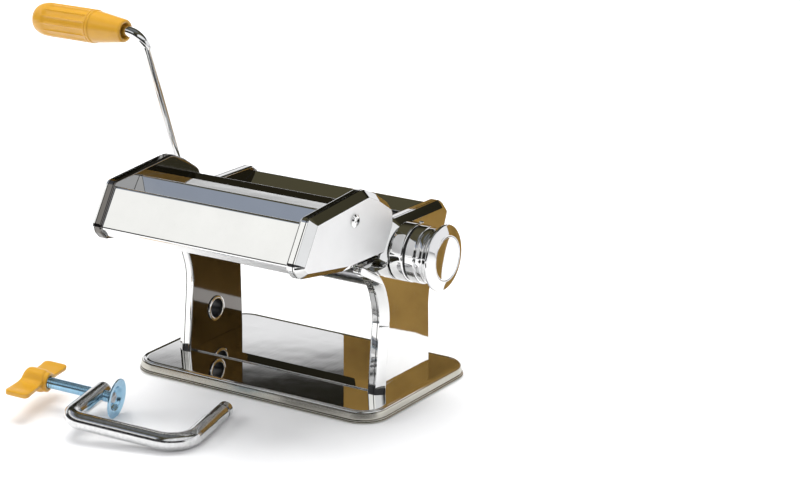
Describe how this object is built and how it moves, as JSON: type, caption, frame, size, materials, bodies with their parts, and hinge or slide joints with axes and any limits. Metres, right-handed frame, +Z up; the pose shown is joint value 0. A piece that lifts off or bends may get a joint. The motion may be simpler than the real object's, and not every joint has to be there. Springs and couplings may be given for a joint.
{
  "type": "pasta roller machine",
  "caption": "Hand-cranked pasta roller on a tray base with a thickness knob, a lift-off cutting attachment with two pairs of cutters, and a loose table clamp.",
  "frame": {"origin": "centre of the base on the surface it stands on", "axes": "+X towards the thickness knob, +Y away from the cutting attachment, +Z up"},
  "size_m": [0.3316, 0.258, 0.2444],
  "materials": {
    "chrome": "mirror polished chrome plate",
    "steel": "ground steel",
    "roller_steel": "fine turned steel",
    "zinc_blue": "blue zinc plate",
    "yellow_plastic": "smooth moulded plastic",
    "black_plastic": "matte moulded plastic",
    "rubber": "matte non-slip",
    "bronze": "sintered bronze",
    "nylon": "moulded nylon"
  },
  "bodies": {
    "frame": {"base_tray": "chrome", "base_pad": "rubber", "floor_plate": "chrome", "foot_screws": "steel", "tie_rods": "steel", "rear_hood": "chrome", "front_hood": "chrome", "front_scraper": "nylon", "rear_scraper": "nylon", "drive_bushes": "nylon", "regulator_bushes": "nylon", "gear_bridge": "steel", "bridge_spacers": "steel", "clamp_sleeve": "chrome", "knob_pointer": "chrome", "locating_pins": "steel", "left_side_plate": "chrome", "right_side_plate": "chrome", "left_cover": "chrome", "right_cover": "chrome"},
    "drive": {"rear_roller": "roller_steel", "drive_shaft": "steel", "drive_gear": "steel"},
    "crank": {"crank_rod": "chrome"},
    "grip": {"crank_grip": "yellow_plastic"},
    "regulator": {"eccentric_axle": "steel", "axle_stop_ring": "steel"},
    "knob": {"knob_skirt": "chrome", "knob_ring": "black_plastic", "knob_grip": "chrome", "knob_cap": "chrome", "knob_index_pin": "steel", "knob_spring": "steel"},
    "bushes": {"front_roller_bushes": "bronze"},
    "front_roll": {"front_roller": "roller_steel", "front_roller_hubs": "steel", "front_gear": "steel"},
    "cutter": {"left_cutter_plate": "chrome", "right_cutter_plate": "chrome", "left_cutter_cap": "chrome", "right_cutter_cap": "chrome", "cutter_front_plate": "chrome", "cutter_middle_plate": "chrome", "cutter_rear_plate": "chrome", "cutter_cap_screws": "chrome", "wide_combs": "nylon", "narrow_combs": "nylon", "cutter_tie_rods": "steel"},
    "wide_front": {"wide_front_cutter": "roller_steel", "wide_front_gear": "steel"},
    "wide_rear": {"wide_rear_cutter": "roller_steel", "wide_rear_gear": "steel"},
    "narrow_front": {"narrow_front_cutter": "roller_steel", "narrow_front_gear": "steel"},
    "narrow_rear": {"narrow_rear_cutter": "roller_steel", "narrow_rear_gear": "steel"},
    "clamp": {"clamp_bar": "chrome"},
    "pad": {"clamp_disc": "zinc_blue"},
    "screw": {"clamp_screw": "zinc_blue", "clamp_wing": "yellow_plastic"}
  },
  "joints": [
    {"name": "drive_spin", "type": "hinge", "parent": "frame", "child": "drive", "pos_m": [0, 0.02535, 0.1048], "axis": [1, 0, 0], "continuous": true},
    {"name": "crank_pull", "type": "slide", "parent": "drive", "child": "crank", "axis": [-1, 0, 0], "range_m": [0, 0.03]},
    {"name": "grip_spin", "type": "hinge", "parent": "crank", "child": "grip", "pos_m": [-0.172, -0.02169, 0.23198], "axis": [1, 0, 0], "continuous": true},
    {"name": "regulator_turn", "type": "hinge", "parent": "frame", "child": "regulator", "pos_m": [0, -0.0024, 0.1048], "axis": [1, 0, 0], "range_deg": [0, 180]},
    {"name": "knob_pull", "type": "slide", "parent": "regulator", "child": "knob", "axis": [1, 0, 0], "range_m": [0, 0.004], "stiffness_N_per_m": 800, "springref_m": -0.004, "deforming": ["knob_spring"]},
    {"name": "bush_turn", "type": "hinge", "parent": "regulator", "child": "bushes", "pos_m": [0, -0.00365, 0.1048], "axis": [1, 0, 0], "range_deg": [-180, 0]},
    {"name": "front_roller_spin", "type": "hinge", "parent": "bushes", "child": "front_roll", "pos_m": [0, -0.00365, 0.1048], "axis": [1, 0, 0], "continuous": true},
    {"name": "cutter_lift", "type": "slide", "parent": "frame", "child": "cutter", "axis": [0, 0.5335, 0.8458], "range_m": [0, 0.05]},
    {"name": "wide_front_spin", "type": "hinge", "parent": "cutter", "child": "wide_front", "pos_m": [0, -0.1033, 0.127], "axis": [1, 0, 0], "continuous": true},
    {"name": "wide_rear_spin", "type": "hinge", "parent": "cutter", "child": "wide_rear", "pos_m": [0, -0.0847, 0.127], "axis": [1, 0, 0], "continuous": true},
    {"name": "narrow_front_spin", "type": "hinge", "parent": "cutter", "child": "narrow_front", "pos_m": [0, -0.0513, 0.121], "axis": [1, 0, 0], "continuous": true},
    {"name": "narrow_rear_spin", "type": "hinge", "parent": "cutter", "child": "narrow_rear", "pos_m": [0, -0.0327, 0.121], "axis": [1, 0, 0], "continuous": true},
    {"name": "clamp_lift", "type": "slide", "parent": "frame", "child": "clamp", "axis": [0, 0, 1], "range_m": [0, 0.05]},
    {"name": "pad_feed", "type": "slide", "parent": "clamp", "child": "pad", "axis": [0.9674, 0.2305, -0.1045], "range_m": [-0.002, 0.021]},
    {"name": "screw_turn", "type": "hinge", "parent": "pad", "child": "screw", "pos_m": [-0.06606, -0.14398, 0.01468], "axis": [0.9674, 0.2305, -0.1045], "range_deg": [-560, 6040]}
  ],
  "couplings": [
    {"joint": "front_roller_spin", "follows": "drive_spin", "ratio": -1},
    {"joint": "bush_turn", "follows": "regulator_turn", "ratio": -1},
    {"joint": "wide_front_spin", "follows": "wide_rear_spin", "ratio": -1},
    {"joint": "narrow_rear_spin", "follows": "narrow_front_spin", "ratio": -1},
    {"joint": "pad_feed", "follows": "screw_turn", "m_per_rad": 0.00019894}
  ]
}
